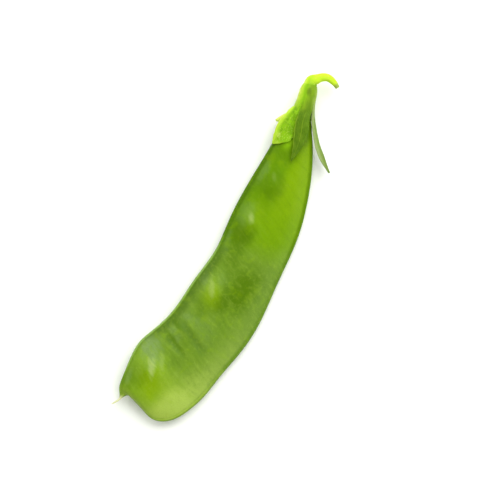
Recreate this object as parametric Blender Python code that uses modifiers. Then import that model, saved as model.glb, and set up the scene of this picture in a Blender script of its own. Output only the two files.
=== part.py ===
# A fresh flat pea pod as picked, lying on its broad side: the pod, its five-lobed calyx and its hooked stem.
# The pod's length runs along X with the stem at +X, its width along Y, and the table is the plane Z = 0.

import math

import bmesh
import bpy
import numpy as np
from mathutils import Vector
from mathutils.bvhtree import BVHTree

MM = 0.001

# Driving dimensions of the pod wall, in millimetres
HALF_THICKNESS = 2.3
THICKENING_LENGTH = 6.5
LENS_POWER = 0.8
SUTURE_RADIUS = 0.5
RINGS = 72
RING_POINTS = 36
# How strongly the rings crowd towards both ends, from 0 for evenly spaced ones to 1
END_CROWDING = 0.5

# The two seams of the pod, from the neck inside the calyx to the dried style at the far end: each row holds
# a point of the upper seam, which carries the peas, and the point of the lower seam across from it.
SEAMS = [
    ((39.4, 4.6, 4.3), (39.4, 4.5, 4.3)),
    ((38.7, 5.4, 4.3), (38.9, 3.6, 4.3)),
    ((37.6, 5.5, 4.3), (37.8, 3.1, 4.2)),
    ((36.0, 6.0, 4.3), (36.4, 1.8, 4.0)),
    ((33.6, 6.7, 4.2), (34.2, 0.2, 3.7)),
    ((30.6, 7.0, 4.0), (31.6, -1.5, 3.3)),
    ((25.3, 7.1, 3.7), (26.9, -4.1, 2.7)),
    ((16.1, 7.4, 3.2), (18.4, -7.5, 1.9)),
    ((5.6, 7.2, 2.9), (8.0, -10.0, 1.5)),
    ((-3.3, 6.5, 2.9), (-2.6, -10.9, 1.4)),
    ((-12.2, 7.5, 2.9), (-12.4, -11.8, 1.4)),
    ((-21.0, 8.3, 3.0), (-21.6, -11.3, 1.5)),
    ((-27.9, 10.4, 3.2), (-30.4, -9.6, 1.7)),
    ((-31.2, 11.6, 3.3), (-35.6, -8.2, 1.8)),
    ((-34.2, 11.9, 3.4), (-41.0, -6.3, 2.0)),
    ((-36.8, 11.6, 3.4), (-44.8, -4.0, 2.1)),
    ((-39.4, 11.3, 3.4), (-46.3, -0.4, 2.3)),
    ((-41.7, 11.1, 3.3), (-45.7, 2.9, 2.5)),
    ((-43.4, 10.75, 3.1), (-44.7, 6.0, 2.6)),
    ((-44.5, 10.2, 3.0), (-44.5, 7.8, 2.7)),
    ((-45.4, 9.6, 2.9), (-45.2, 8.5, 2.8)),
    ((-46.3, 9.4, 2.85), (-46.1, 8.8, 2.8)),
    ((-47.2, 9.75, 2.8), (-47.1, 9.2, 2.8)),
    ((-48.5, 10.4, 2.7), (-48.4, 10.1, 2.7)),
]

# Peas that swell the pod wall: place, height of the swelling and its radius
PEAS = [
    ((17.3, 2.4), 0.75, 3.2),
    ((5.8, 2.9), 0.8, 3.2),
    ((-12.0, 2.4), 1.0, 3.4),
    ((-23.4, 2.9), 0.4, 2.6),
    ((-36.4, 5.6), 1.0, 3.5),
]

# Calyx: a cup round the pod's neck, and the lobes that grow from its rim
CUP_RIM = Vector((37.65, 4.3, 4.3))
CUP_BASE = Vector((43.0, 5.75, 4.3))
# The cup's wall, outside and inside: depth from the rim towards the stem, and radius there
CUP_OUTER = [(0.0, 2.25), (1.6, 2.27), (3.2, 2.27), (4.6, 2.22), (5.5, 2.05), (6.0, 1.75)]
CUP_INNER = [(6.0, 1.3), (4.6, 1.3), (3.2, 1.45), (1.6, 1.55), (0.0, 1.6)]
CUP_SIDES = 24
LOBE_THICKNESS = 0.6
LOBE_ROWS = 14
LOBE_COLUMNS = 6
# A lobe's root spreads over this angle to each side of its turn, and sinks this deep into the cup's wall
ROOT_SPREAD = 33.0
ROOT_RADIUS = 1.92
ROOT_DEPTH = 1.5
# Shares of a lobe's length at which its root ends, it starts to leave the cup, and it is free of the cup
ROOT_END = 0.12
LEAVES_CUP = 0.07
FREE_OF_CUP = 0.36
SMOOTHING_PASSES = 3
SMOOTHING = 0.3
CLEARANCE = 0.3
TABLE_GAP = 0.05
SHARP_EDGE = 40.0

# Each lobe: its middle line from the rim to the tip, its half widths towards the upper and the lower seam
# along that line, and the direction in which its blade spreads.
LOBES = {
    "upper_front": {
        "turn": 36.0,
        "line": [(37.8, 5.4, 5.9), (35.8, 5.8, 6.2), (31.9, 6.2, 6.1), (28.9, 6.5, 5.7), (26.5, 7.0, 5.0)],
        "widths": [(1.2, 1.2), (1.3, 1.5), (2.1, 2.4), (1.5, 2.5), (0.15, 0.3)],
        "spread": (0.1, 1.0, 0.0),
    },
    "side_front": {
        "turn": 108.0,
        "line": [(37.8, 3.8, 6.2), (35.7, 3.4, 6.6), (32.9, 2.4, 6.7), (29.3, 1.35, 6.4), (25.0, 0.9, 6.2)],
        "widths": [(1.2, 1.2), (1.6, 1.6), (1.8, 1.8), (1.25, 1.1), (0.15, 0.15)],
        "spread": (-0.2, 1.0, 0.0),
    },
    "lower": {
        "turn": 180.0,
        "line": [(37.7, 1.9, 4.2), (35.2, -0.1, 4.1), (32.4, -2.5, 3.8), (29.3, -5.8, 3.4), (27.0, -8.8, 3.1)],
        "widths": [(1.2, 1.2), (1.6, 1.6), (1.7, 1.7), (1.2, 1.2), (0.15, 0.15)],
        "spread": (0.15, -0.15, 1.0),
    },
    "side_back": {
        "turn": 252.0,
        "line": [(37.8, 3.6, 2.4), (35.6, 2.8, 1.9), (32.6, 1.6, 1.4), (29.4, 0.5, 1.0), (26.4, -0.3, 0.8)],
        "widths": [(1.2, 1.2), (1.6, 1.6), (1.8, 1.8), (1.2, 1.2), (0.15, 0.15)],
        "spread": (0.2, -1.0, 0.0),
    },
    "upper_back": {
        "turn": 324.0,
        "line": [(37.8, 5.2, 2.6), (36.2, 5.7, 2.4), (34.6, 6.6, 2.6), (33.2, 7.7, 3.1), (32.1, 8.8, 3.7)],
        "widths": [(1.2, 1.2), (1.6, 1.2), (1.6, 1.0), (1.0, 0.7), (0.15, 0.15)],
        "spread": (-0.55, -0.8, 0.0),
    },
}

# Stem: the peg inside the cup, then points of the middle line with the radius there, round to the cut end
PEG = ((41.3, 5.3, 4.3), (43.5, 5.89, 4.3))
PEG_RADIUS = 0.9
STEM_LINE = [
    ((43.9, 6.0, 4.3), 1.7),
    ((44.6, 6.05, 4.3), 1.47),
    ((45.4, 5.7, 4.3), 1.2),
    ((46.2, 4.95, 4.2), 1.03),
    ((47.0, 3.9, 4.1), 0.92),
    ((47.35, 2.9, 4.0), 0.84),
    ((47.3, 1.9, 3.9), 0.74),
    ((47.0, 0.9, 3.7), 0.62),
    ((46.3, -0.35, 3.5), 0.42),
]
STEM_POINTS = 24
STEM_ROUNDNESS = 3

POD_GREEN = (0.22, 0.40, 0.02, 1.0)
CALYX_GREEN = (0.18, 0.36, 0.03, 1.0)
STEM_GREEN = (0.55, 0.78, 0.05, 1.0)


def clear_scene():
    for obj in list(bpy.data.objects):
        bpy.data.objects.remove(obj)


def material(name, colour, roughness):
    made = bpy.data.materials.new(name)
    made.use_nodes = True
    shader = made.node_tree.nodes["Principled BSDF"]
    shader.inputs["Base Color"].default_value = colour
    shader.inputs["Roughness"].default_value = roughness
    shader.inputs["Metallic"].default_value = 0.0
    made.diffuse_color = colour
    return made


def chord_lengths(points):
    steps = np.linalg.norm(np.diff(points, axis=0), axis=1)
    return np.concatenate([[0.0], np.cumsum(steps)])


def spline(knots, values, at):
    """Natural cubic spline through values at knots, read at the places in at."""
    knots, values, at = np.asarray(knots, float), np.asarray(values, float), np.asarray(at, float)
    n = len(knots)
    h = np.diff(knots)
    slope = np.diff(values, axis=0) / h[:, None]
    system = np.eye(n)
    right = np.zeros_like(values)
    for i in range(1, n - 1):
        system[i, i - 1 : i + 2] = h[i - 1], 2 * (h[i - 1] + h[i]), h[i]
        right[i] = 6 * (slope[i] - slope[i - 1])
    bend = np.linalg.solve(system, right)
    i = np.clip(np.searchsorted(knots, at, side="right") - 1, 0, n - 2)
    a, b, width = (knots[i + 1] - at)[:, None], (at - knots[i])[:, None], h[i][:, None]
    curved = (bend[i] * a**3 + bend[i + 1] * b**3) / (6 * width)
    left = (values[i] / width - bend[i] * width / 6) * a
    return curved + left + (values[i + 1] / width - bend[i + 1] * width / 6) * b


def smooth_line(points, count):
    """Evenly spread points on a smooth curve through the given ones."""
    points = np.asarray(points, float)
    knots = chord_lengths(points[:, :3])
    return spline(knots, points, np.linspace(0.0, knots[-1], count))


def swelling(x, y):
    """How far the peas push the pod wall out at (x, y)."""
    total = 0.0
    for (px, py), height, radius in PEAS:
        total += height * math.exp(-((x - px) ** 2 + (y - py) ** 2) / radius**2)
    return total


def half_thickness(across, length):
    """Half the pod's thickness at a share of the way across it, where the seams lie length apart."""
    full = HALF_THICKNESS * (1.0 - math.exp(-length / THICKENING_LENGTH))
    lens = full * (4.0 * across * (1.0 - across)) ** LENS_POWER
    radius = min(SUTURE_RADIUS, length / 2.0)
    inward = min(across, 1.0 - across) * length - radius
    bead = math.sqrt(max(0.0, radius**2 - inward**2))
    return max(lens, bead)


def pod_point(upper, lower, angle):
    """The pod's surface at an angle round a section: 0 on the upper seam, 180 degrees on the lower one."""
    across = (1.0 - math.cos(angle)) / 2.0
    middle = upper.lerp(lower, across)
    length = (lower - upper).length
    half = half_thickness(across, length)
    half += swelling(middle.x, middle.y) * math.sin(angle) ** 2
    side = 1.0 if math.sin(angle) >= 0.0 else -1.0
    return Vector((middle.x, middle.y, max(0.0, middle.z + side * half)))


def seam_pairs(shares):
    """Points of both seams at shares of the way from the neck to the dried style."""
    rows = np.array([[*upper, *lower] for upper, lower in SEAMS])
    knots = chord_lengths(rows)
    read = spline(knots, rows, np.asarray(shares) * knots[-1])
    return [(Vector(row[:3]), Vector(row[3:])) for row in read]


def link(name, mesh, collection, made_of):
    obj = bpy.data.objects.new(name, mesh)
    collection.objects.link(obj)
    mesh.materials.append(made_of)
    return obj


def build_pod(collection, made_of):
    """A ball whose rings become the pod's sections, from the pole in the neck to the pole at the style."""
    bm = bmesh.new()
    bmesh.ops.create_uvsphere(bm, u_segments=RING_POINTS, v_segments=RINGS, radius=1.0)
    turns = [math.acos(max(-1.0, min(1.0, v.co.z))) / math.pi for v in bm.verts]
    shares = [t + END_CROWDING * ((1.0 - math.cos(math.pi * t)) / 2.0 - t) for t in turns]
    for vert, turn, (upper, lower) in zip(bm.verts, turns, seam_pairs(shares)):
        at_pole = min(turn, 1.0 - turn) * RINGS < 0.5
        angle = math.atan2(vert.co.y, vert.co.x)
        vert.co = (upper.lerp(lower, 0.5) if at_pole else pod_point(upper, lower, angle)) * MM
    mesh = bpy.data.meshes.new("pod")
    bm.to_mesh(mesh)
    bm.free()
    mesh.shade_smooth()
    return link("pod", mesh, collection, made_of)


def cup_axes():
    along = (CUP_BASE - CUP_RIM).normalized()
    to_upper_seam = Vector((0.0, 0.0, 1.0)).cross(along).normalized()
    return along, to_upper_seam, along.cross(to_upper_seam)


def cup_point(depth, radius, turn):
    """A point round the cup's axis: depth from the rim towards the stem, turn in degrees from the upper seam."""
    along, out, up = cup_axes()
    angle = math.radians(turn)
    return CUP_RIM + along * depth + (out * math.cos(angle) + up * math.sin(angle)) * radius


def build_cup(collection, made_of):
    """The calyx cup: its wall's closed profile turned round the cup's axis."""
    bm = bmesh.new()
    profile = CUP_OUTER + CUP_INNER
    verts = [bm.verts.new((radius * MM, 0.0, -depth * MM)) for depth, radius in profile]
    for first, second in zip(verts, verts[1:] + verts[:1]):
        bm.edges.new((first, second))
    mesh = bpy.data.meshes.new("calyx")
    bm.to_mesh(mesh)
    bm.free()
    cup = link("calyx", mesh, collection, made_of)
    screw = cup.modifiers.new("turn", "SCREW")
    screw.axis = "Z"
    screw.steps = CUP_SIDES
    screw.render_steps = CUP_SIDES
    screw.use_merge_vertices = True
    screw.merge_threshold = 0.00001
    along, _, _ = cup_axes()
    cup.location = CUP_RIM * MM
    cup.rotation_mode = "QUATERNION"
    cup.rotation_quaternion = (-along).to_track_quat("Z", "Y")
    return cup


def smoothstep(value, low, high):
    share = max(0.0, min(1.0, (value - low) / (high - low)))
    return share * share * (3.0 - 2.0 * share)


def lobe_point(lobe, row, across):
    """A point of a lobe's middle surface: row runs from the root to the tip, across from -1 to 1."""
    line = np.hstack([lobe["line"], lobe["widths"]])
    knots = chord_lengths(line[:, :3])
    along = max(0.0, (row - ROOT_END) / (1.0 - ROOT_END))
    x, y, z, wide_up, wide_down = spline(knots, line, [along * knots[-1]])[0]
    width = wide_up if across > 0.0 else wide_down
    free_point = Vector((x, y, z)) + Vector(lobe["spread"]).normalized() * width * across
    depth = ROOT_DEPTH * max(0.0, 1.0 - row / ROOT_END)
    on_cup = cup_point(depth, ROOT_RADIUS, lobe["turn"] - across * ROOT_SPREAD)
    return on_cup.lerp(free_point, smoothstep(row, LEAVES_CUP, FREE_OF_CUP))


def keep_clear(point, pod_tree):
    """Moves a point of a lobe's middle surface out until the lobe lies just clear of the pod and the table."""
    reach = CLEARANCE + LOBE_THICKNESS / 2.0
    found, normal, _, _ = pod_tree.find_nearest(point * MM)
    found = found / MM
    if (point - found).dot(normal) < reach:
        point = found + normal * reach
    point.z = max(point.z, LOBE_THICKNESS / 2.0 + TABLE_GAP)
    return point


def build_lobe(name, lobe, pod_tree, collection):
    bm = bmesh.new()
    bmesh.ops.create_grid(bm, x_segments=LOBE_ROWS, y_segments=LOBE_COLUMNS, size=1.0)
    rows = [(v.co.x + 1.0) / 2.0 for v in bm.verts]
    for vert, row in zip(bm.verts, rows):
        vert.co = lobe_point(lobe, row, vert.co.y)
    blade = [vert for vert, row in zip(bm.verts, rows) if row > 2.0 * ROOT_END]
    smoothed = [vert for vert, row in zip(bm.verts, rows) if FREE_OF_CUP < row < 1.0]
    for _ in range(SMOOTHING_PASSES):
        bmesh.ops.smooth_vert(bm, verts=smoothed, factor=SMOOTHING, use_axis_z=True)
        for vert in blade:
            vert.co = keep_clear(vert.co, pod_tree)
    bmesh.ops.scale(bm, vec=(MM, MM, MM), verts=bm.verts)
    mesh = bpy.data.meshes.new(name)
    bm.to_mesh(mesh)
    bm.free()
    obj = bpy.data.objects.new(name, mesh)
    collection.objects.link(obj)
    solid = obj.modifiers.new("blade", "SOLIDIFY")
    solid.thickness = LOBE_THICKNESS * MM
    solid.offset = 0.0
    return obj


def freeze(obj):
    """Turns an object with modifiers into the plain mesh that they make."""
    graph = bpy.context.evaluated_depsgraph_get()
    mesh = bpy.data.meshes.new_from_object(obj.evaluated_get(graph))
    obj.modifiers.clear()
    obj.data = mesh


def tree_of(obj):
    bm = bmesh.new()
    bm.from_mesh(obj.data)
    tree = BVHTree.FromBMesh(bm)
    bm.free()
    return tree


def build_calyx(pod, collection, made_of):
    """The cup with its five lobes joined to it as one body."""
    cup = build_cup(collection, made_of)
    freeze(cup)
    lobes = bpy.data.collections.new("calyx lobes")
    bpy.context.scene.collection.children.link(lobes)
    pod_tree = tree_of(pod)
    for name, lobe in LOBES.items():
        freeze(build_lobe(name, lobe, pod_tree, lobes))
    union = cup.modifiers.new("join lobes", "BOOLEAN")
    union.operation = "UNION"
    union.operand_type = "COLLECTION"
    union.collection = lobes
    union.solver = "MANIFOLD"
    freeze(cup)
    for obj in list(lobes.objects):
        bpy.data.objects.remove(obj)
    bpy.data.collections.remove(lobes)
    cup.data.shade_smooth()
    cup.data.set_sharp_from_angle(angle=math.radians(SHARP_EDGE))
    return cup


def build_stem(collection, made_of):
    """The stem: a tapered bevelled curve from inside the calyx cup round the hook to its cut end."""
    points = [[*place, PEG_RADIUS] for place in PEG]
    points += list(smooth_line([[*place, radius] for place, radius in STEM_LINE], STEM_POINTS))
    curve = bpy.data.curves.new("stem", "CURVE")
    curve.dimensions = "3D"
    curve.bevel_depth = MM
    curve.bevel_resolution = STEM_ROUNDNESS
    curve.use_fill_caps = True
    run = curve.splines.new("POLY")
    run.points.add(len(points) - 1)
    for point, (x, y, z, radius) in zip(run.points, points):
        point.co = (x * MM, y * MM, z * MM, 1.0)
        point.radius = radius
    run.use_smooth = True
    return link("stem", curve, collection, made_of)


def centre_footprint(pieces, collection):
    """Parents the pieces to an empty and shifts it so that the box round them stands centred on the origin."""
    graph = bpy.context.evaluated_depsgraph_get()
    corners = []
    for piece in pieces:
        shown = piece.evaluated_get(graph)
        corners += [shown.matrix_world @ v.co for v in shown.to_mesh().vertices]
    low = Vector([min(c[i] for c in corners) for i in range(3)])
    high = Vector([max(c[i] for c in corners) for i in range(3)])
    frame = bpy.data.objects.new("pea_pod_frame", None)
    collection.objects.link(frame)
    for piece in pieces:
        piece.parent = frame
    frame.location = (-(low.x + high.x) / 2.0, -(low.y + high.y) / 2.0, -low.z)


def main():
    clear_scene()
    collection = bpy.data.collections.new("flat pea pod")
    bpy.context.scene.collection.children.link(collection)
    pod = build_pod(collection, material("pod skin", POD_GREEN, 0.4))
    calyx = build_calyx(pod, collection, material("calyx leaf", CALYX_GREEN, 0.5))
    stem = build_stem(collection, material("stem skin", STEM_GREEN, 0.45))
    centre_footprint([pod, calyx, stem], collection)


main()
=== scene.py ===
# A fresh flat pea pod on a white table, seen from straight above.
# It has three pieces: the pod, its leafy calyx and its hooked stem.
# Sizes are in millimetres and turn into metres when a mesh is made. Colours are sRGB, from 0 to 255.

import math

import bmesh
import bpy
import numpy as np
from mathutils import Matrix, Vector, noise
from mathutils.bvhtree import BVHTree


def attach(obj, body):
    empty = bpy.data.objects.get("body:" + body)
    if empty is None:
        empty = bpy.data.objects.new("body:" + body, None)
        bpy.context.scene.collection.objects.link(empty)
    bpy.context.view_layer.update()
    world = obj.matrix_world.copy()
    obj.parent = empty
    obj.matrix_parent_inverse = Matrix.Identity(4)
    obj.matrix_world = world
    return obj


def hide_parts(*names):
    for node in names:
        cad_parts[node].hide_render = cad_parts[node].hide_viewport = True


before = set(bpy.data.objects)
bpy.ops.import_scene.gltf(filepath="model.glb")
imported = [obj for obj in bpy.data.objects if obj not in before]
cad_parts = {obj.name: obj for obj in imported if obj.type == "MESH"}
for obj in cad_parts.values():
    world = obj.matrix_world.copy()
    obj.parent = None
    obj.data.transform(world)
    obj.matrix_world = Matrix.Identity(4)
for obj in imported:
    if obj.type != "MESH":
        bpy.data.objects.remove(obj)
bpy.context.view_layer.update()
print("frame loaded with", ", ".join(sorted(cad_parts)))

mm = 0.001
shift = Vector((0.132, -0.042, 0.0))  # from the zero of the pod's drawing to the middle of its footprint


class Sock:
    # one output of a node: sums on it add Math nodes, or Vector Math nodes where it is a vector
    def __init__(self, paint, socket):
        self.paint = paint
        self.socket = socket

    def __add__(self, other):
        return self.paint.combine("ADD", self, other)

    def __sub__(self, other):
        return self.paint.combine("SUBTRACT", self, other)

    def __rsub__(self, other):
        return self.paint.combine("SUBTRACT", other, self)

    def __mul__(self, other):
        return self.paint.combine("MULTIPLY", self, other)

    def __truediv__(self, other):
        return self.paint.combine("DIVIDE", self, other)

    def __pow__(self, other):
        return self.paint.combine("POWER", self, other)

    __radd__ = __add__
    __rmul__ = __mul__


class Paint:
    # a material under construction
    def __init__(self, name):
        self.material = bpy.data.materials.new(name)
        self.material.use_nodes = True
        self.tree = self.material.node_tree
        self.tree.nodes.clear()

    def node(self, kind, settings=None, sockets=None, output=0):
        made = self.tree.nodes.new("ShaderNode" + kind)
        for name, value in (settings or {}).items():
            setattr(made, name, value)
        byName = {}
        for socket in made.inputs:
            byName.setdefault(socket.name, socket)
            byName[socket.identifier] = socket
        for name, value in (sockets or {}).items():
            if isinstance(value, Sock):
                self.tree.links.new(value.socket, byName[name])
            else:
                byName[name].default_value = value
        return Sock(self, made.outputs[output]) if made.outputs else None

    def maths(self, operation, value, other=0.0):
        return self.node("Math", {"operation": operation}, {"Value": value, "Value_001": other})

    def combine(self, operation, first, second):
        parts = [first, second]
        if not any(isinstance(part, Sock) and part.socket.type == "VECTOR" for part in parts):
            return self.maths(operation, first, second)
        parts = [part if isinstance(part, (Sock, tuple)) else (part, part, part) for part in parts]
        sockets = {"Vector": parts[0], "Vector_001": parts[1]}
        return self.node("VectorMath", {"operation": operation}, sockets)

    def clamp(self, value):
        return self.node("Clamp", {}, {"Value": value})

    def between(self, value, low, high):
        # 0 at low, 1 at high and a soft step between them, also where low is the larger
        return self.node("MapRange", {"interpolation_type": "SMOOTHSTEP"},
                         {"Value": value, "From Min": low, "From Max": high})

    def mix(self, first, second, share):
        # the node's third result is the one for colours
        return self.node("Mix", {"data_type": "RGBA"},
                         {"Factor_Float": share, "A_Color": first, "B_Color": second}, output=2)

    def cloud(self, place, size, detail=2.0, distortion=0.0):
        # noise from 0 to 1 with blobs of about this size in millimetres
        return self.node("TexNoise", {}, {"Vector": place, "Scale": 1.0 / size, "Detail": detail,
                                          "Distortion": distortion})

    def place(self):
        # the surface's place in millimetres, as in the drawing
        metres = self.node("TexCoord", output="Object")
        return metres * (1.0 / mm) - tuple(shift)

    def split(self, vector):
        parts = self.node("SeparateXYZ", {}, {"Vector": vector})
        return [Sock(self, socket) for socket in parts.socket.node.outputs]

    def join(self, x, y, z):
        return self.node("CombineXYZ", {}, {"X": x, "Y": y, "Z": z})

    def stored(self, name):
        # a value kept at the mesh's points, read as a plain number, the node's third result
        return self.node("Attribute", {"attribute_name": name}, output=2)

    def bump(self, height, strength, distance, under=None):
        # distance in millimetres, on top of the bump in under
        sockets = {"Height": height, "Strength": strength, "Distance": distance * mm}
        if under:
            sockets["Normal"] = under
        return self.node("Bump", {}, sockets)

    def finish(self, sockets):
        shader = self.node("BsdfPrincipled", {}, sockets)
        self.node("OutputMaterial", {}, {"Surface": shader})
        return self.material


lightLevel = 1.42  # how much brighter than full white the lamps make a white table


def colour(red, green, blue, level=lightLevel):
    # the surface's own colour for a colour as it looks in the picture
    def linear(part):
        part = part / 255.0
        return (part / 12.92 if part <= 0.04045 else ((part + 0.055) / 1.055) ** 2.4) / level
    return (linear(red), linear(green), linear(blue), 1.0)


def readLook(skin):
    # a dictionary of a finish with its colours made ready for a material
    return {name: colour(*value) if isinstance(value, tuple) else value for name, value in skin.items()}


def chordLengths(points):
    steps = np.linalg.norm(np.diff(points, axis=0), axis=1)
    return np.concatenate([[0.0], np.cumsum(steps)])


def spline(knots, values, at):
    # natural cubic spline through values at knots, read at the places in at
    knots, values, at = np.asarray(knots, float), np.asarray(values, float), np.asarray(at, float)
    count = len(knots)
    steps = np.diff(knots)
    slope = np.diff(values, axis=0) / steps[:, None]
    system = np.eye(count)
    right = np.zeros_like(values)
    for i in range(1, count - 1):
        system[i, i - 1 : i + 2] = steps[i - 1], 2 * (steps[i - 1] + steps[i]), steps[i]
        right[i] = 6 * (slope[i] - slope[i - 1])
    bend = np.linalg.solve(system, right)
    i = np.clip(np.searchsorted(knots, at, side="right") - 1, 0, count - 2)
    a, b, width = (knots[i + 1] - at)[:, None], (at - knots[i])[:, None], steps[i][:, None]
    curved = (bend[i] * a**3 + bend[i + 1] * b**3) / (6 * width)
    left = (values[i] / width - bend[i] * width / 6) * a
    return curved + left + (values[i + 1] / width - bend[i + 1] * width / 6) * b


def softStep(value, low, high):
    share = max(0.0, min(1.0, (value - low) / (high - low)))
    return share * share * (3.0 - 2.0 * share)


def wobble(x, y, z, size):
    # smooth noise round 0, with swells of about this size
    return noise.noise(Vector((x / size, y / size, z / size)))


def tubeMesh(name, rings, startTip, endTip):
    # a closed skin over rings of points, drawn together into a point at each end
    count, around = rings.shape[:2]
    points = np.concatenate([rings.reshape(-1, 3), [startTip, endTip]]) + np.array(shift)
    faces = []
    for i in range(count - 1):
        for j in range(around):
            k = (j + 1) % around
            faces.append((i * around + j, (i + 1) * around + j, (i + 1) * around + k, i * around + k))
    start, end, last = count * around, count * around + 1, (count - 1) * around
    for j in range(around):
        k = (j + 1) % around
        faces.append((start, j, k))
        faces.append((end, last + k, last + j))
    mesh = bpy.data.meshes.new(name)
    mesh.from_pydata(points * mm, [], faces)
    mesh.shade_smooth()
    return mesh


def storeValues(mesh, name, values):
    layer = mesh.attributes.new(name, "FLOAT", "POINT")
    layer.data.foreach_set("value", np.asarray(values, np.float32))


def addPiece(mesh, node, material):
    piece = bpy.data.objects.new(mesh.name, mesh)
    bpy.context.scene.collection.objects.link(piece)
    mesh.materials.append(material)
    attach(piece, "root")
    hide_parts(node)
    return piece


pod = {
    "rings": 520,
    "around": 150,
    "endCrowding": 0.5,  # how strongly the rings crowd towards both ends
    "halfThickness": 2.3,
    "thickeningLength": 6.5,  # where the pod is this wide, it has 63% of its full thickness
    "lensPower": 0.8,  # 1 bulges the wall like a parabola, less makes it fuller
    "seamRadius": 0.5,
    # the two seams from the neck inside the calyx to the dried style: upper point, lower point
    "seams": [
        ((39.4, 4.6, 4.3), (39.4, 4.5, 4.3)),
        ((38.7, 5.4, 4.3), (38.9, 3.6, 4.3)),
        ((37.6, 5.5, 4.3), (37.8, 3.1, 4.2)),
        ((36.0, 6.0, 4.3), (36.4, 1.8, 4.0)),
        ((33.6, 6.7, 4.2), (34.2, 0.2, 3.7)),
        ((30.6, 7.0, 4.0), (31.6, -1.5, 3.3)),
        ((25.3, 7.1, 3.7), (26.9, -4.1, 2.7)),
        ((16.1, 7.4, 3.2), (18.4, -7.5, 1.9)),
        ((5.6, 7.2, 2.9), (8.0, -10.0, 1.5)),
        ((-3.3, 6.5, 2.9), (-2.6, -10.9, 1.4)),
        ((-12.2, 7.5, 2.9), (-12.4, -11.77, 1.4)),
        ((-21.0, 8.3, 3.0), (-21.6, -11.3, 1.5)),
        ((-27.9, 10.4, 3.2), (-30.4, -9.6, 1.7)),
        ((-31.2, 11.6, 3.3), (-35.75, -8.7, 1.8)),
        ((-34.2, 11.89, 3.4), (-41.2, -6.8, 2.0)),
        ((-36.8, 11.72, 3.4), (-45.0, -4.3, 2.1)),
        ((-39.4, 11.4, 3.4), (-46.8, -0.5, 2.3)),
        ((-41.7, 11.1, 3.3), (-46.0, 3.0, 2.5)),
        ((-43.4, 10.8, 3.1), (-45.0, 6.1, 2.6)),
        ((-44.5, 10.3, 3.0), (-44.7, 7.8, 2.7)),
        ((-45.4, 9.7, 2.9), (-45.3, 8.4, 2.8)),
        ((-46.3, 9.4, 2.85), (-46.1, 8.8, 2.8)),
        ((-47.2, 9.75, 2.8), (-47.1, 9.2, 2.8)),
        ((-48.5, 10.4, 2.7), (-48.4, 10.1, 2.7)),
    ],
    # the peas that swell the wall: place, height of the swelling, its radius
    "peas": [
        ((17.3, 2.4), 0.75, 3.2),
        ((5.8, 2.9), 0.8, 3.2),
        ((-12.0, 2.4), 1.0, 3.4),
        ((-23.4, 2.9), 0.4, 2.6),
        ((-36.4, 5.6), 1.0, 3.5),
    ],
    # shallow creases in the wall: start, end, width, depth
    "creases": [
        ((-26.9, 6.4), (-29.7, -0.2), 0.8, 0.16),
        ((-22.4, 5.0), (-26.7, -3.9), 0.8, 0.14),
    ],
    "veinSpacing": 2.9,
    "veinSlant": 0.42,  # how far a vein runs towards the tip for each step towards the lower seam
    "veinWander": 1.1,
    "veinWidth": 0.28,
    "veinHeight": 0.022,
    "dentHeight": 0.07,
    "dentSize": 5.0,
}


def podSections():
    # where each ring meets the two seams, and how far along the pod it lies
    rows = np.array([[*upper, *lower] for upper, lower in pod["seams"]])
    turns = np.linspace(0.0, 1.0, pod["rings"] + 2)[1:-1]
    crowded = (1.0 - np.cos(math.pi * turns)) / 2.0
    shares = turns + pod["endCrowding"] * (crowded - turns)
    knots = chordLengths(rows)
    return spline(knots, rows, shares * knots[-1]), rows, shares


def podRelief(x, y, side):
    # what stands out from the plain lens of the wall, or sinks into it
    height = 0.0
    for (px, py), high, radius in pod["peas"]:
        height += high * math.exp(-((x - px) ** 2 + (y - py) ** 2) / radius**2)
    # the third place given to wobble only sets the two walls apart
    height += pod["dentHeight"] * wobble(x, y, side * 9.0, pod["dentSize"])
    bent = x - pod["veinSlant"] * y + pod["veinWander"] * wobble(x, y, side * 5.0, 6.0)
    gap = (bent / pod["veinSpacing"] + 0.5) % 1.0 - 0.5
    height += pod["veinHeight"] * math.exp(-((gap * pod["veinSpacing"] / pod["veinWidth"]) ** 2))
    if side > 0.0:
        for (ax, ay), (bx, by), width, depth in pod["creases"]:
            length = math.hypot(bx - ax, by - ay)
            run = ((x - ax) * (bx - ax) + (y - ay) * (by - ay)) / length
            off = ((x - ax) * (by - ay) - (y - ay) * (bx - ax)) / length
            ends = softStep(run, -1.0, 1.5) * (1.0 - softStep(run, length - 2.5, length + 1.0))
            height -= depth * ends * math.exp(-((off / width) ** 2))
    return height


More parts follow.
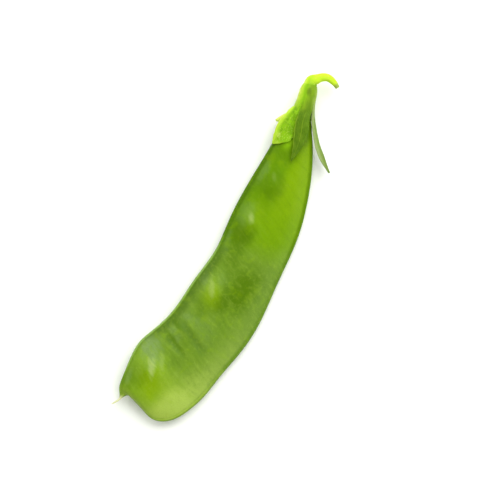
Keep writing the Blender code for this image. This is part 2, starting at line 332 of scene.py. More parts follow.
def buildPod():
    sections, rows, shares = podSections()
    angles = np.arange(pod["around"]) * 2.0 * math.pi / pod["around"]
    rings = np.zeros((pod["rings"], pod["around"], 3))
    fromUpper = np.zeros(rings.shape[:2])
    fromLower = np.zeros(rings.shape[:2])
    across = (1.0 - np.cos(angles)) / 2.0
    for i, section in enumerate(sections):
        upper, lower = section[:3], section[3:]
        length = np.linalg.norm(lower - upper)
        middle = upper + (lower - upper) * across[:, None]
        lens = pod["halfThickness"] * (1.0 - math.exp(-length / pod["thickeningLength"]))
        lens = lens * np.clip(4.0 * across * (1.0 - across), 0.0, 1.0) ** pod["lensPower"]
        radius = min(pod["seamRadius"], length / 2.0)
        inward = np.minimum(across, 1.0 - across) * length - radius
        bead = np.sqrt(np.maximum(0.0, radius**2 - inward**2))
        half = np.maximum(lens, bead)
        for j, angle in enumerate(angles):
            side = 1.0 if math.sin(angle) >= 0.0 else -1.0
            half[j] += podRelief(middle[j, 0], middle[j, 1], side) * math.sin(angle) ** 2
            middle[j, 2] = max(0.0, middle[j, 2] + side * half[j])
        rings[i] = middle
        fromUpper[i] = across * length
        fromLower[i] = (1.0 - across) * length
    tips = [(rows[k, :3] + rows[k, 3:]) / 2.0 for k in (0, -1)]
    mesh = tubeMesh("podVisual", rings, tips[0], tips[1])
    storeValues(mesh, "fromUpper", [*fromUpper.ravel(), 0.0, 0.0])
    storeValues(mesh, "fromLower", [*fromLower.ravel(), 0.0, 0.0])
    storeValues(mesh, "along", [*np.repeat(shares, pod["around"]), 0.0, 1.0])
    return mesh


podSkin = {
    "sunny": (110, 158, 2),  # by the calyx, where light shines through the wall
    "sunnyBright": (138, 181, 2),
    "waxy": (114, 153, 26),  # the middle, under its wax
    "deep": (90, 129, 6),
    "fresh": (134, 175, 16),  # towards the blunt end
    "pale": (182, 212, 80),
    # painted shade: the peas seen darker through the wall, and the calyx's shadow on the neck
    "peaAndCalyxShade": (92, 132, 2),
    "halo": (144, 183, 4),
    "glint": (180, 204, 112),
    # bluish wax bloom, partly a painted sheen
    "bloomAndSheen": (142, 174, 98),  # bluish wax
    # painted shade on the seams' turned-away margins, and the side lobe's painted shadow
    "seamShade": (83, 124, 5),
    # painted highlight on the upper seam's narrow rim
    "seamHighlight": (152, 190, 92),
    # painted shade in a band just inside the upper seam
    "grooveShade": (76, 112, 16),
    "litEdge": (160, 220, 20),  # beside the calyx
    "style": (246, 246, 186),
    "roughness": 0.45,
    "wax": 0.3,
    "throughLight": 0.1,
    # oval marks on the skin: colour, place, half length and half width, degrees it leans, share, raggedness
    "marks": [
        ("sunnyBright", (22.4, -1.6), (5.0, 2.2), 0.0, 0.6, 0.6),
        ("bloomAndSheen", (19.8, 5.6), (3.6, 1.3), 0.0, 0.3, 0.8),
        # painted shade over the first pea
        ("peaAndCalyxShade", (18.2, 2.2), (2.4, 3.0), 0.0, 0.12, 0.5),
        # painted shade just inside the upper seam
        ("grooveShade", (15.0, 6.7), (4.0, 0.9), 0.0, 0.4, 0.3),
        ("glint", (19.6, 2.6), (1.3, 0.6), 29.0, 0.12, 0.6),
        # painted shade over the second pea
        ("peaAndCalyxShade", (3.2, 2.8), (5.8, 3.6), 10.0, 0.85, 0.6),
        ("halo", (9.4, 2.2), (5.0, 3.0), 0.0, 0.4, 0.5),
        ("bloomAndSheen", (8.8, 4.4), (3.8, 2.5), 10.0, 0.24, 0.9),
        ("glint", (8.1, 2.6), (1.6, 0.85), 29.0, 0.5, 0.5),
        # painted shadow of the calyx on the pod's neck
        ("peaAndCalyxShade", (25.6, 2.8), (3.2, 2.4), 0.0, 0.35, 0.6),
        # painted shadow of the side front lobe beside the lower seam
        ("seamShade", (32.2, 0.3), (3.2, 1.3), 8.0, 0.7, 0.4),
        ("litEdge", (33.4, -0.5), (3.4, 0.7), 34.0, 0.35, 0.2),
        ("litEdge", (29.2, 3.7), (2.7, 1.5), 0.0, 0.7, 0.3),
        ("deep", (-9.0, -4.0), (7.4, 5.0), -10.0, 0.95, 0.6),
        ("deep", (-2.5, 1.6), (4.5, 2.6), 20.0, 0.45, 0.8),
        ("deep", (-13.6, -0.9), (3.2, 2.6), 0.0, 0.7, 0.6),
        ("halo", (-12.8, 2.2), (4.8, 2.9), 29.0, 0.75, 0.6),
        ("glint", (-11.4, 2.8), (2.8, 1.2), 32.0, 0.14, 1.1),
        ("glint", (-11.5, 2.7), (2.6, 0.75), 32.0, 0.32, 1.0),
        ("bloomAndSheen", (-10.4, 5.5), (1.8, 1.1), 20.0, 0.45, 0.9),
        ("deep", (-18.0, 1.6), (3.0, 2.2), 0.0, 0.35, 0.8),
        ("bloomAndSheen", (-20.6, 3.6), (1.1, 3.0), 6.0, 0.3, 0.9),
        ("bloomAndSheen", (-25.4, 5.4), (1.2, 3.4), -30.0, 0.36, 0.9),
        ("deep", (-23.6, 5.6), (0.8, 2.6), -20.0, 0.5, 0.8),
        ("deep", (-23.6, 4.4), (6.8, 2.2), -15.0, 0.24, 0.7),
        ("deep", (-40.8, 9.8), (4.6, 1.9), 10.0, 0.4, 0.6),
        ("bloomAndSheen", (-40.4, 9.9), (2.4, 0.9), 10.0, 0.28, 0.8),
        ("halo", (-38.6, 4.8), (7.4, 3.4), 29.0, 0.8, 0.9),
        ("halo", (-39.2, 2.4), (4.6, 3.8), 0.0, 0.45, 0.8),
        ("halo", (-33.8, 8.6), (2.6, 1.7), 29.0, 0.5, 0.6),
        ("deep", (-39.4, 8.0), (3.8, 2.8), 10.0, 0.35, 0.6),
        ("halo", (-33.0, 4.2), (2.2, 1.6), 0.0, 0.3, 0.6),
        ("glint", (-35.4, 6.2), (3.6, 1.1), 29.0, 0.68, 1.0),
        ("glint", (-36.0, 6.0), (1.8, 0.7), 29.0, 0.4, 0.8),
        ("glint", (-33.8, 4.2), (2.6, 0.8), 29.0, 0.25, 1.0),
    ],
    # the pale side of the blunt end, partly a painted highlight: place, half length and half width, degrees
    # it leans, share
    "palePatches": [
        ((-42.6, -2.2), (6.6, 5.2), -40.0, 0.7),
        ((-38.6, -3.8), (10.5, 8.0), -35.0, 0.42),
    ],
    # round shadows of the peas seen through the wall: middle, radius, share
    "peaShadows": [
        ((17.6, 1.9), 3.6, 0.42),
        ((4.4, 2.4), 3.3, 0.25),
    ],
    # where the wax lies thickest, partly a painted sheen: place, half length and half width, share
    "waxAndSheenPatches": [
        ((-31.6, 8.0), (5.0, 2.8), 0.85),
        ((-31.6, 10.2), (3.4, 1.5), 0.9),
        ((-20.5, 4.6), (6.0, 2.2), 0.16),
        ((-10.0, 5.0), (5.0, 1.6), 0.3),
        ((-22.0, -1.0), (6.0, 3.5), 0.2),
        ((1.0, 5.4), (5.0, 1.1), 0.35),
    ],
}


def oval(paint, x, y, centre, size, lean, raggedness, core=0.2):
    # 1 in the core of an oval patch, falling softly to 0 round its edge
    turn = math.radians(lean)
    dx, dy = x - centre[0], y - centre[1]
    along = (dx * math.cos(turn) + dy * math.sin(turn)) / size[0]
    across = (dy * math.cos(turn) - dx * math.sin(turn)) / size[1]
    off = (along * along + across * across) ** 0.5
    return 1.0 - paint.between(off + raggedness, core, 1.25)


def creaseMask(paint, x, y, start, end, width, raggedness):
    dx, dy = end[0] - start[0], end[1] - start[1]
    length = math.hypot(dx, dy)
    run = ((x - start[0]) * dx + (y - start[1]) * dy) / length
    off = ((x - start[0]) * dy - (y - start[1]) * dx) / length
    ends = paint.between(run, -1.5, 1.5) * (1.0 - paint.between(run, length - 3.0, length + 1.0))
    return ends * (1.0 - paint.between(paint.maths("ABSOLUTE", off + raggedness), width * 0.2, width * 1.7))


def podMaterial():
    look = readLook(podSkin)
    paint = Paint("podSkin")
    place = paint.place()
    x, y, z = paint.split(place)
    fromUpper = paint.stored("fromUpper")
    fromLower = paint.stored("fromLower")
    along = paint.stored("along")
    broad = paint.cloud(place, 6.0, 2.0)
    patchy = paint.cloud(place, 2.2, 3.0, 0.4)
    fine = paint.cloud(place, 0.7, 3.0)
    grain = paint.cloud(place, 0.22, 2.0)
    drift = (broad - 0.5) * 8.0
    rough = patchy - 0.5
    # streaks that run across the pod as its veins do
    bent = x - y * pod["veinSlant"] + (broad - 0.5) * 2.2
    streaks = paint.cloud(paint.join(bent, (y + x * pod["veinSlant"]) * 0.2, z), 1.0, 3.0)

    # the sunny half by the calyx, its brighter strip by the lower seam, the waxy middle,
    # the fresh blunt end, and the pale belly and blunt end by the lower seam, partly a painted highlight
    sunny = paint.between(x + drift + y * 0.3, -3.0, 6.0)
    strip = paint.between(y + drift * 0.25, 2.2, -2.2) * (paint.between(x, 2.0, 22.0) * 0.6 + 0.4)
    base = paint.mix(look["waxy"], look["sunny"], sunny)
    base = paint.mix(base, look["sunnyBright"], strip * paint.between(x + drift, -4.0, 6.0))
    fresh = 1.0 - paint.between(x + drift * 0.6 - y * 0.2, -38.0, -32.0)
    base = paint.mix(base, look["fresh"], fresh * 0.8)
    ragged = (broad - 0.5) * 0.6 + rough * 0.5
    # the pale belly and the pale patches are partly the end's own paler colour, partly a painted highlight
    # from the side lamp
    belly = paint.between(fromLower, 0.5, 1.4) * (1.0 - paint.between(fromLower + rough * 2.0, 1.6, 8.0))
    pale = belly * paint.between(x, -8.0, -34.0) * 0.42
    for centre, size, lean, share in podSkin["palePatches"]:
        pale = pale + oval(paint, x, y, centre, size, lean, ragged, 0.0) * share
    base = paint.mix(base, look["pale"], paint.clamp(pale))

    # marks over the peas, creases and wax, among them painted shade, painted highlights and painted sheen
    for centre, radius, share in podSkin["peaShadows"]:
        shadow = oval(paint, x, y, centre, (radius, radius), 0.0, rough * 0.3, 0.6) * share
        base = paint.mix(base, look["peaAndCalyxShade"], shadow)
    plain = 1.0 - sunny * 0.95  # 1 where the skin keeps the full shine of its wax
    for name, centre, size, lean, share, ragged in podSkin["marks"]:
        noisy = (streaks - 0.5) * 1.4 if name == "glint" else rough * 1.2
        mark = oval(paint, x, y, centre, size, lean, noisy * ragged) * share
        base = paint.mix(base, look[name], mark)
        if name in ("deep", "halo"):
            plain = plain * (1.0 - mark)
    # painted shade in the creases
    for start, end, width, _ in pod["creases"]:
        base = paint.mix(base, look["deep"], creaseMask(paint, x, y, start, end, width, rough * 1.5) * 0.75)
    streaky = paint.between(streaks, 0.36, 0.62)
    # wax bloom, partly a painted sheen
    for centre, size, share in podSkin["waxAndSheenPatches"]:
        patch = oval(paint, x, y, centre, size, 20.0, rough * 0.9) * share
        base = paint.mix(base, look["bloomAndSheen"], patch * (streaky * 0.6 + 0.3))

    # the two seams: painted shade on their turned-away margins and in a band just inside the upper seam,
    # and a painted highlight on the upper seam's rim
    towardsStem = paint.between(x, -6.0, 3.0)
    upperBand = 1.0 - paint.between(fromUpper, 0.7, 1.5)
    lowerBand = 1.0 - paint.between(fromLower, 0.45, 1.25)
    # painted shade in a band just inside the upper seam
    grooveShade = paint.between(fromUpper, 0.46, 0.8) * (1.0 - paint.between(fromUpper + rough, 1.4, 3.4))
    grooveShade = grooveShade * (1.0 - towardsStem * 0.7) * paint.between(x, -31.0, -26.0)
    base = paint.mix(base, look["grooveShade"], grooveShade * 0.7)
    base = paint.mix(base, look["seamShade"], upperBand * (towardsStem * 0.65 + 0.3))
    lowerShare = paint.between(x, -8.0, 6.0) * 0.4 + 0.3 - paint.between(x, 29.0, 33.0) * 0.4
    base = paint.mix(base, look["seamShade"], lowerBand * lowerShare)
    # at the blunt end the lower seam's rim gets a painted highlight, with a thin painted shade at its very
    # edge
    bluntEnd = paint.between(x, -24.0, -36.0)
    base = paint.mix(base, look["pale"], lowerBand * bluntEnd * 0.6)
    base = paint.mix(base, look["seamShade"], (1.0 - paint.between(fromLower, 0.2, 0.6)) * bluntEnd * 0.5)
    # painted highlight along the upper seam's rim
    upperLine = (1.0 - paint.between(fromUpper, 0.36, 0.56)) * (1.0 - towardsStem * 0.95)
    base = paint.mix(base, look["seamHighlight"], upperLine * (paint.between(x, -42.0, -36.0) * 0.75 + 0.1))

    # veins and fine mottling
    gap = paint.maths("PINGPONG", bent / pod["veinSpacing"], 0.5)
    vein = (1.0 - paint.between(gap, 0.0, 0.14)) * paint.between(fine, 0.35, 0.6)
    away = 1.0 - sunny * 0.6
    base = paint.mix(base, look["deep"], vein * (1.0 - fresh) * 0.12)
    middle = paint.between(y, -9.0, -2.0) * 0.13 + 0.16
    darkStreaks = paint.between(streaks, 0.5, 0.68) * away * (1.0 - fresh * 0.8) * middle
    base = paint.mix(base, look["deep"], darkStreaks)
    base = paint.mix(base, look["pale"], paint.between(streaks, 0.48, 0.3) * away * 0.11)
    base = paint.mix(base, look["pale"], paint.between(fine, 0.5, 0.75) * away * 0.13)
    base = paint.mix(base, look["deep"], paint.between(grain, 0.5, 0.75) * 0.28)
    base = paint.mix(base, look["halo"], paint.between(patchy, 0.5, 0.75) * 0.3)
    base = paint.mix(base, look["style"], paint.between(along, 0.962, 0.975))

    relief = paint.bump(patchy * 0.5 + streaks * 0.4, 0.35, 0.12)
    relief = paint.bump(grain * 0.4 + fine, 0.3, 0.05, relief)
    rimWax = paint.between(fromLower, 0.6, 1.2) * (1.0 - paint.between(fromLower, 1.6, 4.5)) * 0.5
    wax = paint.clamp(plain * (patchy * 0.8 + 0.6) * (1.0 - grooveShade * 0.5) + rimWax) * look["wax"]
    return paint.finish({
        "Base Color": base,
        "Roughness": look["roughness"] + (fine - 0.5) * 0.2,
        "Normal": relief,
        "Specular IOR Level": 0.04,
        "Coat Weight": wax,
        "Coat Roughness": 0.36,
        "Subsurface Weight": look["throughLight"],
        "Subsurface Radius": (0.6, 1.0, 0.2),
        "Subsurface Scale": 1.5 * mm,
    })


calyx = {
    "rim": Vector((37.65, 4.3, 4.3)),  # middle of the cup's mouth
    "base": Vector((43.0, 5.75, 4.3)),
    "cupLength": 6.1,
    # depth from the rim, the cup's outer radius there across the pod and through it
    "cupOutline": [
        (0.0, 2.75, 2.3),
        (1.0, 2.5, 2.28),
        (2.2, 2.32, 2.27),
        (3.6, 2.27, 2.27),
        (4.6, 2.2, 2.2),
        (5.5, 1.98, 1.98),
        (6.1, 1.7, 1.7),
    ],
    "rows": 54,  # along a lobe, from its root to its tip
    "columns": 14,
    "rootDepth": 1.5,  # how far down the cup, from its rim, a lobe begins
    # shares of a lobe's length: its root ends, it begins to leave the cup, it is free of the cup
    "rootEnd": 0.12,
    "leavesCup": 0.07,
    "freeOfCup": 0.36,
    "halfTurn": 36.0,  # degrees of the cup that belong to each half of a lobe
    "thickness": 0.5,
    "marginThinning": 0.6,
    "clearance": 0.1,  # between a lobe and the pod
    "tableGap": 0.06,
    "waviness": 0.12,
    "smoothings": 6,
    "smoothing": 0.4,
    # turn: degrees round the cup from the upper seam over the top
    # line: the middle of the lobe from rim to tip, as a place and the widths on either side of it,
    # first on the side to which spread points
    # brightSide: the side with the bright margin, painted as light shining through it; lime and paleness:
    # shares of those colours
    "lobes": [
        {  # upper front
            "turn": 36.0,
            "line": [
                ((37.8, 5.4, 5.8), (1.6, 1.2)),
                ((35.8, 5.8, 6.0), (1.65, 1.5)),
                ((31.9, 6.2, 5.7), (2.1, 2.6)),
                ((28.9, 6.5, 5.15), (1.5, 2.6)),
                ((26.5, 7.0, 4.4), (0.15, 0.3)),
            ],
            "spread": (0.1, 1.0, -0.06),
            "brightSide": 1.0,
            "lime": 1.0,
            "paleness": 0.0,
        },
        {  # side front
            "turn": 108.0,
            "line": [
                ((37.8, 3.8, 6.2), (1.2, 1.2)),
                ((35.7, 3.4, 6.6), (1.6, 1.6)),
                ((32.9, 2.4, 6.6), (1.8, 1.8)),
                ((29.3, 1.35, 6.1), (1.25, 1.1)),
                ((25.0, 0.9, 5.7), (0.15, 0.15)),
            ],
            "spread": (-0.2, 1.0, 0.0),
            "brightSide": 1.0,
            "lime": 0.0,
            "paleness": 0.0,
        },
        {  # lower
            "turn": 180.0,
            "line": [
                ((37.7, 1.9, 4.2), (1.2, 1.2)),
                ((35.1, 0.1, 4.1), (1.1, 1.1)),
                ((32.25, -2.2, 3.8), (1.2, 1.2)),
                ((29.2, -5.55, 3.4), (1.3, 1.3)),
                ((27.0, -8.8, 3.1), (0.15, 0.15)),
            ],
            "spread": (-0.36, 0.34, 0.87),
            "brightSide": 1.0,
            "lime": 0.25,
            "paleness": 0.95,
        },
        {  # side back
            "turn": 252.0,
            "line": [
                ((37.8, 3.6, 2.4), (1.2, 1.2)),
                ((35.6, 2.8, 1.9), (1.6, 1.6)),
                ((32.6, 1.6, 1.4), (1.8, 1.8)),
                ((29.4, 0.5, 1.0), (1.2, 1.2)),
                ((26.4, -0.3, 0.8), (0.15, 0.15)),
            ],
            "spread": (0.2, -1.0, 0.0),
            "brightSide": 1.0,
            "lime": 0.2,
            "paleness": 0.4,
        },
        {  # upper back
            "turn": 324.0,
            "line": [
                ((37.8, 5.2, 2.6), (1.2, 1.2)),
                ((36.2, 5.7, 2.4), (1.6, 1.2)),
                ((34.6, 6.6, 2.6), (1.6, 1.0)),
                ((33.1, 7.8, 3.2), (1.0, 0.8)),
                ((31.9, 9.0, 3.9), (0.3, 0.3)),
            ],
            "spread": (-0.55, -0.8, 0.0),
            "brightSide": -1.0,
            "lime": 2.0,  # above 1 its tip glows
            "paleness": 0.0,
        },
    ],
}


def cupPoint(depth, turn):
    # in the middle of the cup's wall: turn in degrees from the upper seam over the top
    along = (calyx["base"] - calyx["rim"]).normalized()
    out = Vector((0.0, 0.0, 1.0)).cross(along).normalized()
    up = along.cross(out)
    outline = np.array(calyx["cupOutline"])
    wide, high = [float(np.interp(depth, outline[:, 0], radii)) for radii in outline[:, 1:].T]
    angle = math.radians(turn)
    half = calyx["thickness"] / 2.0
    middle = calyx["rim"] + along * depth
    outwards = out * math.cos(angle) * (wide - half)
    upwards = up * math.sin(angle) * (high - half)
    return middle + outwards + upwards


def lobePoint(lobe, row, across, reading):
    # row below 0 is the cup, 0 to 1 the lobe from its root to its tip, and across runs from -1 to 1
    depth = calyx["rootDepth"] * max(0.0, 1.0 - row / calyx["rootEnd"])
    if row < 0.0:
        depth = calyx["rootDepth"] - row * (calyx["cupLength"] - calyx["rootDepth"])
    onCup = cupPoint(depth, lobe["turn"] - across * calyx["halfTurn"])
    if row <= calyx["leavesCup"]:
        return onCup
    x, y, z, wideAhead, wideBehind = reading
    wide = wideAhead if across > 0.0 else wideBehind
    spread = Vector(lobe["spread"]).normalized()
    ripple = 1.0 + calyx["waviness"] * abs(across) * wobble(row * 22.0, lobe["turn"], across, 1.6)
    free = Vector((x, y, z)) + spread * (wide * across * ripple)
    return onCup.lerp(free, softStep(row, calyx["leavesCup"], calyx["freeOfCup"]))


def keepClear(point, podTree):
    # pushes a point in the middle of a lobe's blade away from the pod and the table
    reach = calyx["clearance"] + calyx["thickness"] / 2.0
    found, normal, _, _ = podTree.find_nearest((point + shift) * mm)
    found = found / mm - shift
    if (point - found).dot(normal) < reach:
        point = found + normal * reach
    point.z = max(point.z, calyx["thickness"] / 2.0 + calyx["tableGap"])
    return point


def buildLobe(bm, layers, lobe, podTree):
    # two close rows where the cup meets the stem, rows up the cup, then the lobe's, closest at its root
    cupRows = np.concatenate([[-1.0, -0.985], np.linspace(-0.94, 0.0, 14)[:-1]])
    rows = np.concatenate([cupRows, np.linspace(0.0, 1.0, calyx["rows"]) ** 1.15])
    line = np.array([[*place, *widths] for place, widths in lobe["line"]])
    knots = chordLengths(line[:, :3])
    share = np.clip((rows - calyx["rootEnd"]) / (1.0 - calyx["rootEnd"]), 0.0, 1.0)
    readings = spline(knots, line, share * knots[-1])
    columns = np.linspace(-1.0, 1.0, calyx["columns"] + 1)
    grid = []
    for row, reading in zip(rows, readings):
        verts = []
        for across in columns:
            point = lobePoint(lobe, row, across, reading)
            if row > 2.0 * calyx["rootEnd"]:
                point = keepClear(point, podTree)
            vert = bm.verts.new(point)
            vert[layers["blade"]] = row
            vert[layers["across"]] = across * lobe["brightSide"]
            vert[layers["lime"]] = lobe["lime"]
            vert[layers["paleness"]] = lobe["paleness"]
            verts.append(vert)
        grid.append(verts)
    for i in range(len(rows) - 1):
        for j in range(calyx["columns"]):
            bm.faces.new((grid[i][j], grid[i][j + 1], grid[i + 1][j + 1], grid[i + 1][j]))
    return grid, rows


def buildCalyx(podObject):
    bm = bmesh.new()
    layers = {name: bm.verts.layers.float.new(name) for name in ("blade", "across", "lime", "paleness")}
    tree = BVHTree.FromObject(podObject, bpy.context.evaluated_depsgraph_get())
    made = [buildLobe(bm, layers, lobe, tree) for lobe in calyx["lobes"]]
    # the lobes' outer rows are smoothed, then pushed clear of the pod again
    for _ in range(calyx["smoothings"]):
        loose = []
        clear = []
        for grid, rows in made:
            for verts, row in zip(grid, rows):
                if calyx["leavesCup"] < row < 1.0:
                    loose += verts[1:-1]
                if row > 2.0 * calyx["rootEnd"]:
                    clear += verts
        bmesh.ops.smooth_vert(bm, verts=loose, factor=calyx["smoothing"],
                              use_axis_x=True, use_axis_y=True, use_axis_z=True)
        for vert in clear:
            vert.co = keepClear(vert.co, tree)
    bmesh.ops.remove_doubles(bm, verts=bm.verts, dist=0.002)
    bmesh.ops.recalc_face_normals(bm, faces=bm.faces)
    for vert in bm.verts:
        vert.co = (vert.co + shift) * mm
    mesh = bpy.data.meshes.new("calyxVisual")
    bm.to_mesh(mesh)
    bm.free()
    mesh.shade_smooth()
    return mesh


def finishCalyx(piece):
    # a leaf thickness that thins towards the margins, then one round of subdivision
    mesh = piece.data
    across = np.zeros(len(mesh.vertices), np.float32)
    blade = np.zeros(len(mesh.vertices), np.float32)
    mesh.attributes["across"].data.foreach_get("value", across)
    mesh.attributes["blade"].data.foreach_get("value", blade)
    group = piece.vertex_groups.new(name="thickness")
    for i, (a, b) in enumerate(zip(across, blade)):
        margin = softStep(abs(a), 0.35, 1.0) * softStep(b, 0.05, 0.3)
        group.add([i], 1.0 - calyx["marginThinning"] * margin, "REPLACE")
    leaf = piece.modifiers.new("leaf", "SOLIDIFY")
    leaf.thickness = calyx["thickness"] * mm
    leaf.offset = 0.0
    leaf.vertex_group = "thickness"
    leaf.thickness_vertex_group = 0.0
    smooth = piece.modifiers.new("smooth", "SUBSURF")
    smooth.levels = 1
    smooth.render_levels = 1


calyxLeaf = {
    # glow and rim: painted light shining through the thin edges of the cup, lobes and tips; rim also paints
    # the paler midrib
    "glow": (244, 255, 118),  # the outermost rim on the bright side
    "rim": (204, 246, 60),
    "lime": (152, 210, 22),
    "limeDeep": (118, 174, 2),
    "leaf": (138, 178, 30),
    "leafLight": (172, 204, 74),
    "olive": (106, 145, 22),
    "oliveDeep": (92, 132, 12),
    "pale": (136, 165, 72),
    "paleMargin": (162, 183, 114),
    "tip": (118, 145, 56),
    "shine": (226, 252, 110),  # little bright cells on the lime lobes
    "bruise": (96, 122, 22),
    "roughness": 0.5,
    # place, half length and half width of the bruise on the cup, and of the brightest cells
    "bruiseOval": [(41.9, 5.3), (1.3, 0.8)],
    "cellsOval": [(29.1, 6.7), (0.8, 0.6)],
}


def cupAcross(x, y):
    # how far a place lies from the cup's middle plane towards the upper seam, in millimetres
    along = (calyx["base"] - calyx["rim"]).normalized()
    return (y - calyx["rim"].y) * along.x - (x - calyx["rim"].x) * along.y


def calyxMaterial():
    look = readLook(calyxLeaf)
    paint = Paint("calyxLeaf")
    place = paint.place()
    x, y, z = paint.split(place)
    across = paint.stored("across")
    blade = paint.stored("blade")
    lime = paint.stored("lime")
    paleness = paint.stored("paleness")
    patchy = paint.cloud(place, 1.3, 3.0, 0.6)
    fine = paint.cloud(place, 0.35, 3.0)
    rough = patchy - 0.5
    off = paint.maths("ABSOLUTE", across)
    speckled = paint.between(patchy, 0.36, 0.62)

    # the cup: from olive on the lower seam's side over leaf green to a bright lime rim, the lime, rim and
    # glow on the upper seam's side being painted light shining through its edge
    side = cupAcross(x, y) + rough * 0.8
    leafy = paint.between(side + paint.between(x, 40.5, 43.5), -2.1, -0.4)
    cup = paint.mix(look["olive"], look["leaf"], leafy)
    cup = paint.mix(cup, look["leafLight"], paint.between(side, -1.2, -2.1) * 0.9)
    cup = paint.mix(cup, look["lime"], paint.between(side, -0.4, 0.8))
    cup = paint.mix(cup, look["rim"], paint.between(side, 0.75, 1.65))
    cup = paint.mix(cup, look["glow"], paint.between(side, 1.6, 2.2) * 0.75)
    bruise = oval(paint, x, y, *look["bruiseOval"], 20.0, rough * 0.8)
    cup = paint.mix(cup, look["bruise"], bruise * paint.between(z, 5.0, 6.0) * 0.6)

    # the lobes: mottled lime with a bright outer margin of painted light, olive, or pale
    dappled = speckled * (1.0 - paint.between(blade, 0.5, 0.9) * 0.6)
    bright = paint.mix(look["lime"], look["limeDeep"], dappled)
    outward = across + rough * 0.7 + paint.between(blade, 0.5, 1.0) * 0.3
    bright = paint.mix(bright, look["rim"], paint.between(outward, 0.3, 0.85))
    # painted light also brightens the lime lobes' far ends
    bright = paint.mix(bright, look["rim"], paint.between(blade + rough * 0.08, 0.84, 0.95) * 0.8)
    cells = paint.between(fine, 0.52, 0.7) * (paint.between(blade, 0.4, 0.9) * 0.35 + 0.25)
    cells = cells + oval(paint, x, y, *look["cellsOval"], 20.0, rough * 0.8) * 0.6
    bright = paint.mix(bright, look["shine"], paint.clamp(cells))
    margin = paint.between(off, 0.8, 0.96) * paint.between(across + blade, 0.0, 0.8)
    bright = paint.mix(bright, look["glow"], margin * 0.8)
    bright = paint.mix(bright, look["glow"], paint.between(lime, 1.1, 1.6) * paint.between(blade, 0.4, 0.7))
    dull = paint.mix(look["olive"], look["oliveDeep"], speckled)
    blades = paint.mix(dull, bright, lime)
    root = paint.between(across, 0.0, 0.7) * (1.0 - paint.between(blade, 0.1, 0.28))
    blades = paint.mix(blades, look["leaf"], root * (1.0 - paint.clamp(lime)) * 0.8)
    paler = paint.mix(look["pale"], look["paleMargin"], paint.between(across + rough * 0.6, 0.1, 0.5))
    paler = paint.mix(paler, look["paleMargin"], paint.between(across, -0.7, -1.0) * 0.8)
    paler = paint.mix(paler, look["tip"], paint.between(blade - across * 0.2, 0.5, 0.95))
    blades = paint.mix(blades, paler, paleness)
    base = paint.mix(cup, blades, paint.between(blade, -0.3, 0.3))

    # ribs, the bright edge as painted light, and fine pale spots
    ribs = paint.maths("PINGPONG", across * 3.5 + rough * 0.5, 0.5)
    rib = 1.0 - paint.between(ribs, 0.0, 0.16)
    midrib = 1.0 - paint.between(off, 0.02, 0.1)
    free = paint.between(blade, 0.1, 0.4)
    base = paint.mix(base, look["leaf"], rib * 0.25)
    base = paint.mix(base, look["rim"], midrib * free * 0.16)
    edge = paint.between(across, 0.84, 0.97) * free
    base = paint.mix(base, look["rim"], edge * (1.0 - paleness) * 0.4)
    base = paint.mix(base, look["pale"], paint.between(fine, 0.56, 0.76) * 0.14)

    relief = paint.bump(rib * 0.6 + midrib * 0.6 + patchy * 0.5, 0.6, 0.12)
    relief = paint.bump(fine, 0.4, 0.06, relief)
    return paint.finish({
        "Base Color": base,
        "Roughness": look["roughness"] + rough * 0.2,
        "Normal": relief,
        "Specular IOR Level": 0.08,
        "Subsurface Weight": 0.15,
        "Subsurface Radius": (0.5, 1.0, 0.15),
        "Subsurface Scale": 1.0 * mm,
    })


stem = {
    # the middle line with the radius there, from inside the cup round the hook to the cut end
    "peg": [((41.0, 5.21, 4.3), 1.0), ((43.45, 5.87, 4.3), 1.18)],
    "line": [
        ((43.6, 5.92, 4.3), 1.68),
        ((44.6, 6.05, 4.3), 1.47),
        ((45.24, 5.54, 4.3), 1.38),
        ((46.08, 4.82, 4.2), 1.16),
        ((46.87, 3.82, 4.1), 1.05),
        ((47.21, 2.88, 4.0), 0.98),
        ((47.14, 1.9, 3.9), 0.89),
        ((46.87, 0.92, 3.7), 0.77),
        ((46.25, -0.32, 3.5), 0.55),
    ],
    "rings": 170,
    "around": 48,
    "ridges": 7,
    "ridgeTwist": 0.35,
    "ridgeHeight": 0.022,  # as a share of the radius, like the next one
    "knobHeight": 0.035,
    "cutHollow": 0.3,  # as a share of the step between two rings
}


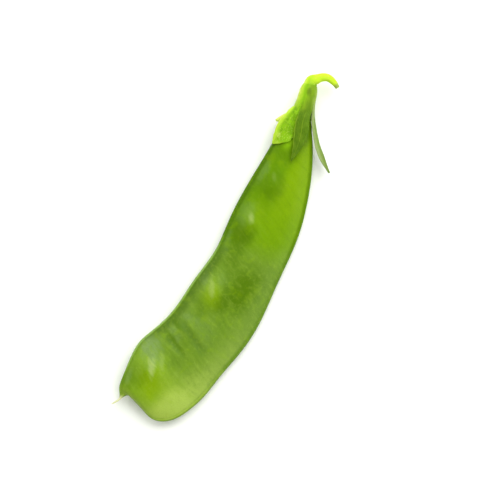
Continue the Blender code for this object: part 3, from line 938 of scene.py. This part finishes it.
def buildStem():
    line = np.array([[*place, radius] for place, radius in stem["line"]])
    knots = chordLengths(line[:, :3])
    smooth = spline(knots, line, np.linspace(0.0, knots[-1], stem["rings"]))
    peg = np.array([[*place, radius] for place, radius in stem["peg"]])
    rows = np.concatenate([peg, smooth])
    centres, radii = rows[:, :3], rows[:, 3]
    tangents = np.gradient(centres, axis=0)
    normal = Vector((0.0, 0.0, 1.0))
    rings = np.zeros((len(rows), stem["around"], 3))
    lengths = chordLengths(centres)
    for i, (centre, radius, tangent) in enumerate(zip(centres, radii, tangents)):
        tangent = Vector(tangent).normalized()
        normal = (normal - tangent * normal.dot(tangent)).normalized()
        binormal = tangent.cross(normal)
        for j in range(stem["around"]):
            angle = 2.0 * math.pi * j / stem["around"]
            turned = stem["ridges"] * angle + stem["ridgeTwist"] * lengths[i]
            ridge = stem["ridgeHeight"] * math.cos(turned) - stem["ridgeHeight"]
            uneven = wobble(lengths[i], math.cos(angle) * 2.0, math.sin(angle) * 2.0, 1.6)
            knobs = stem["knobHeight"] * (uneven - 0.55)
            out = radius * (1.0 + (ridge + knobs) * softStep(lengths[i] - lengths[2], 0.0, 1.5))
            rings[i, j] = Vector(centre) + (normal * math.cos(angle) + binormal * math.sin(angle)) * out
    # the cut end is drawn in a little, towards the ring before it
    mesh = tubeMesh("stemVisual", rings, centres[0], centres[-1] - tangents[-1] * stem["cutHollow"])
    along = np.repeat(lengths / lengths[-1], stem["around"])
    storeValues(mesh, "along", [*along, 0.0, 1.0])
    bm = bmesh.new()
    bm.from_mesh(mesh)
    bmesh.ops.recalc_face_normals(bm, faces=bm.faces)
    bm.to_mesh(mesh)
    bm.free()
    return mesh


stemSkin = {
    "lime": (214, 252, 46),
    # painted light shining through the flare's edge, also used for fine pale flecks
    "rim": (238, 255, 128),
    "flare": (148, 200, 26),
    "spot": (104, 148, 14),
    "cut": (158, 176, 96),
    "roughness": 0.45,
}


def stemMaterial():
    look = readLook(stemSkin)
    paint = Paint("stemSkin")
    place = paint.place()
    x, y, _ = paint.split(place)
    along = paint.stored("along")
    patchy = paint.cloud(place, 1.1, 3.0, 0.3)
    fine = paint.cloud(place, 0.25, 3.0)
    # leaf green where the stem leaves the calyx, lime round the hook, dull at the cut; the flare's lime and
    # bright rim on the upper seam's side are painted light shining through
    hook = paint.between(along + (patchy - 0.5) * 0.12, 0.2, 0.46)
    side = cupAcross(x, y) + (patchy - 0.5) * 0.6
    flare = paint.mix(look["spot"], look["flare"], paint.between(side, -1.8, -0.3) * 0.5 + 0.5)
    flare = paint.mix(flare, look["lime"], paint.between(side, 0.2, 1.0) * 0.8)
    flare = paint.mix(flare, look["rim"], paint.between(side, 0.8, 1.5))
    base = paint.mix(flare, look["lime"], hook)
    base = paint.mix(base, look["rim"], paint.between(fine, 0.5, 0.75) * 0.25)
    base = paint.mix(base, look["spot"], paint.between(patchy, 0.6, 0.75) * (1.0 - hook) * 0.3)
    base = paint.mix(base, look["cut"], paint.between(along + (patchy - 0.5) * 0.1, 0.87, 0.97) * 0.8)
    relief = paint.bump(fine + patchy * 0.6, 0.4, 0.1)
    return paint.finish({
        "Base Color": base,
        "Roughness": look["roughness"] + (fine - 0.5) * 0.2,
        "Normal": relief,
        "Specular IOR Level": 0.1,
        "Subsurface Weight": 0.2,
        "Subsurface Radius": (0.8, 1.0, 0.2),
        "Subsurface Scale": 1.0 * mm,
    })


studio = {
    "viewPoint": (1.23, -1.0, 3.5),  # what the middle of the picture looks at
    "viewWidth": 122.5,  # what the picture takes in from side to side
    "pictureTurn": -60.8,
    "lens": 300.0,
    "world": 0.5,
    "floor": (249, 251, 244),
    "floorSize": 2.0,  # in metres, to each side of the middle
    "floorDrop": 0.03,
    # name, direction it shines from, distance and size in metres, watts
    "lights": [
        ("key", (0.85, 0.1, 0.85), 0.75, 0.8, 6.6),
        ("side", (-0.15, -1.0, 0.75), 0.7, 0.6, 1.5),
        ("edge", (0.1, 1.0, 0.7), 0.7, 0.5, 1.2),
    ],
}


def addLights():
    target = Vector((0.0, 0.0, 0.0))
    for name, direction, distance, size, watts in studio["lights"]:
        lamp = bpy.data.lights.new(name, "AREA")
        lamp.shape = "DISK"
        lamp.size = size
        lamp.energy = watts
        piece = bpy.data.objects.new(name, lamp)
        bpy.context.scene.collection.objects.link(piece)
        piece.location = target + Vector(direction).normalized() * distance
        piece.rotation_euler = (target - piece.location).to_track_quat("-Z", "Y").to_euler()
        piece.visible_camera = False
    world = bpy.data.worlds.new("studio")
    world.use_nodes = True
    background = world.node_tree.nodes["Background"]
    background.inputs["Color"].default_value = (1.0, 1.0, 1.0, 1.0)
    background.inputs["Strength"].default_value = studio["world"]
    bpy.context.scene.world = world


def addFloor():
    bm = bmesh.new()
    bmesh.ops.create_grid(bm, x_segments=1, y_segments=1, size=studio["floorSize"])
    mesh = bpy.data.meshes.new("floor")
    bm.to_mesh(mesh)
    bm.free()
    paint = Paint("tableTop")
    mesh.materials.append(paint.finish({
        "Base Color": colour(*studio["floor"], level=1.0),
        "Roughness": 0.9,
        "Specular IOR Level": 0.1,
    }))
    floor = bpy.data.objects.new("floor", mesh)
    floor.location.z = -studio["floorDrop"] * mm
    bpy.context.scene.collection.objects.link(floor)


def addCamera():
    lens = bpy.data.cameras.new("camera")
    lens.lens = studio["lens"]
    lens.sensor_width = 36.0
    lens.clip_start = 0.01
    lens.clip_end = 20.0
    camera = bpy.data.objects.new("camera", lens)
    bpy.context.scene.collection.objects.link(camera)
    away = studio["viewWidth"] * lens.lens / lens.sensor_width
    camera.location = (Vector(studio["viewPoint"]) + Vector((0.0, 0.0, away))) * mm
    camera.rotation_euler = (0.0, 0.0, math.radians(studio["pictureTurn"]))
    bpy.context.scene.camera = camera


print("camera, lights and floor")
addCamera()
addLights()
addFloor()
bpy.context.scene.view_settings.view_transform = "Standard"

print("pod")
podPiece = addPiece(buildPod(), "pod", podMaterial())
bpy.context.view_layer.update()

print("calyx")
calyxPiece = addPiece(buildCalyx(podPiece), "calyx", calyxMaterial())
finishCalyx(calyxPiece)

print("stem")
addPiece(buildStem(), "stem", stemMaterial())

bpy.context.view_layer.update()
